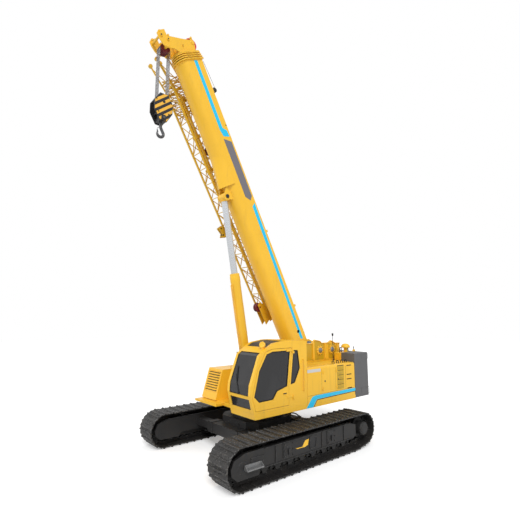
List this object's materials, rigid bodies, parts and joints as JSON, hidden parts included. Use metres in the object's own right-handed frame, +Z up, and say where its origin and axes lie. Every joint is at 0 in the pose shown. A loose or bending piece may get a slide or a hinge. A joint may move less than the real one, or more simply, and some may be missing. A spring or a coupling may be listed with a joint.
{
  "type": "telescopic crawler crane",
  "caption": "Telescopic crawler crane: slewing upperworks with cab, winches and counterweight on extending tracks, luffing box boom with stowed lattice jib and hook block.",
  "frame": {"origin": "on the ground under the slewing axis, midway between the tracks", "axes": "+X towards the boom's side of the machine (its front), +Y to the machine's left (the cab side), +Z up"},
  "size_m": [7.6387, 4.62, 12.0386],
  "materials": {
    "yellow_paint": "gloss",
    "charcoal_paint": "satin",
    "track_steel": "satin",
    "grey_paint": "satin",
    "step_grey": "satin",
    "tinted_glass": "gloss",
    "chrome_rod": "polished",
    "sheave_red": "satin",
    "rope_steel": "satin",
    "block_black": "gloss",
    "forged_hook": "satin",
    "seat_vinyl": "matte",
    "cab_plastic": "matte",
    "engine_iron": "matte"
  },
  "bodies": {
    "base": {"carbody": "charcoal_paint", "slewing_ring": "charcoal_paint"},
    "crawler_left": {"track_frame_left": "charcoal_paint", "track_left": "track_steel", "idler_left": "track_steel", "sprocket_left": "track_steel", "roller_row_left": "track_steel", "carrier_roller_front_left": "track_steel", "carrier_roller_rear_left": "track_steel", "step_left": "step_grey"},
    "crawler_right": {"track_frame_right": "charcoal_paint", "track_right": "track_steel", "idler_right": "track_steel", "sprocket_right": "track_steel", "roller_row_right": "track_steel", "carrier_roller_front_right": "track_steel", "carrier_roller_rear_right": "track_steel", "step_right": "step_grey"},
    "upperworks": {"deck_frame": "yellow_paint", "cab_shell": "yellow_paint", "windshield": "tinted_glass", "lower_front_window": "tinted_glass", "roof_window": "tinted_glass", "right_window": "tinted_glass", "rear_window": "tinted_glass", "side_window": "tinted_glass", "operator_seat": "seat_vinyl", "control_console": "cab_plastic", "engine_cover": "yellow_paint", "engine_block": "engine_iron", "right_hood": "yellow_paint", "counterweight_lower": "grey_paint", "counterweight_upper": "grey_paint"},
    "door": {"cab_door": "yellow_paint", "door_window": "tinted_glass"},
    "main_winch": {"main_winch_drum": "grey_paint"},
    "aux_winch": {"aux_winch_drum": "grey_paint"},
    "boom_base": {"boom_outer": "yellow_paint", "jib": "yellow_paint"},
    "boom_2": {"boom_section_2": "yellow_paint"},
    "boom_3": {"boom_section_3": "yellow_paint"},
    "boom_4": {"boom_section_4": "yellow_paint"},
    "boom_5": {"boom_section_5": "yellow_paint", "boom_head": "yellow_paint"},
    "head_sheave_set": {"head_sheaves": "sheave_red"},
    "top_sheave_wheel": {"top_sheave": "sheave_red"},
    "cylinder_rod": {"luff_rod": "chrome_rod"},
    "cylinder_barrel": {"luff_barrel": "yellow_paint"},
    "hoist_ropes": {"rope_fall_front_left": "rope_steel", "rope_fall_front_right": "rope_steel", "rope_fall_rear_left": "rope_steel", "rope_fall_rear_right": "rope_steel"},
    "block": {"hook_block": "block_black"},
    "block_sheave_set": {"block_sheaves": "sheave_red"},
    "swivel_hook": {"hook": "forged_hook"}
  },
  "joints": [
    {"name": "track_extend_left", "type": "slide", "parent": "base", "child": "crawler_left", "axis": [0, 1, 0], "range_m": [-0.6, 0]},
    {"name": "track_extend_right", "type": "slide", "parent": "base", "child": "crawler_right", "axis": [0, -1, 0], "range_m": [-0.6, 0]},
    {"name": "slew", "type": "hinge", "parent": "base", "child": "upperworks", "pos_m": [0, 0, 1.135], "axis": [0, 0, 1], "continuous": true},
    {"name": "cab_door", "type": "hinge", "parent": "upperworks", "child": "door", "pos_m": [-0.05, 1.51, 2.2], "axis": [0, 0, 1], "range_deg": [0, 110]},
    {"name": "main_winch", "type": "hinge", "parent": "upperworks", "child": "main_winch", "pos_m": [-2.23, 0, 2.68], "axis": [0, 1, 0], "continuous": true},
    {"name": "aux_winch", "type": "hinge", "parent": "upperworks", "child": "aux_winch", "pos_m": [-2.85, 0, 2.68], "axis": [0, 1, 0], "continuous": true},
    {"name": "luff", "type": "hinge", "parent": "upperworks", "child": "boom_base", "pos_m": [-1.76, 0, 2.6], "axis": [0, -1, 0], "range_deg": [-62.5, 17.5]},
    {"name": "telescope", "type": "slide", "parent": "boom_base", "child": "boom_2", "axis": [0.4617, 0, 0.887], "range_m": [0, 7]},
    {"name": "telescope_3", "type": "slide", "parent": "boom_2", "child": "boom_3", "axis": [0.4617, 0, 0.887], "range_m": [0, 7]},
    {"name": "telescope_4", "type": "slide", "parent": "boom_3", "child": "boom_4", "axis": [0.4617, 0, 0.887], "range_m": [0, 7]},
    {"name": "telescope_5", "type": "slide", "parent": "boom_4", "child": "boom_5", "axis": [0.4617, 0, 0.887], "range_m": [0, 7]},
    {"name": "head_sheaves", "type": "hinge", "parent": "boom_5", "child": "head_sheave_set", "pos_m": [3.50309, 0, 11.37191], "axis": [0, 1, 0], "continuous": true},
    {"name": "top_sheave", "type": "hinge", "parent": "boom_5", "child": "top_sheave_wheel", "pos_m": [2.72191, 0, 11.85071], "axis": [0, 1, 0], "continuous": true},
    {"name": "rod_eye", "type": "hinge", "parent": "boom_base", "child": "cylinder_rod", "pos_m": [1.34263, 0, 7.44477], "axis": [0, -1, 0], "range_deg": [-9.75, 2.75]},
    {"name": "luff_stroke", "type": "slide", "parent": "cylinder_rod", "child": "cylinder_barrel", "axis": [-0.1789, 0, -0.9839], "range_m": [-2.225, 0.625]},
    {"name": "hook_swing", "type": "hinge", "parent": "boom_5", "child": "hoist_ropes", "pos_m": [3.50309, 0, 11.37191], "axis": [0, 1, 0], "range_deg": [-62.5, 17.5]},
    {"name": "hoist", "type": "slide", "parent": "hoist_ropes", "child": "block", "axis": [0, 0, -1], "range_m": [-0.9, 0], "deforming": ["rope_fall_front_left", "rope_fall_front_right", "rope_fall_rear_left", "rope_fall_rear_right"]},
    {"name": "block_sheaves", "type": "hinge", "parent": "block", "child": "block_sheave_set", "pos_m": [3.50309, 0, 9.7], "axis": [0, 1, 0], "continuous": true},
    {"name": "hook_swivel", "type": "hinge", "parent": "block", "child": "swivel_hook", "pos_m": [3.50309, 0, 9], "axis": [0, 0, 1], "continuous": true}
  ],
  "couplings": [
    {"joint": "telescope_3", "follows": "telescope", "ratio": 1},
    {"joint": "telescope_4", "follows": "telescope", "ratio": 1},
    {"joint": "telescope_5", "follows": "telescope", "ratio": 1},
    {"joint": "rod_eye", "follows": "luff", "ratio": 0.15533},
    {"joint": "luff_stroke", "follows": "luff", "m_per_rad": 2.0341}
  ]
}
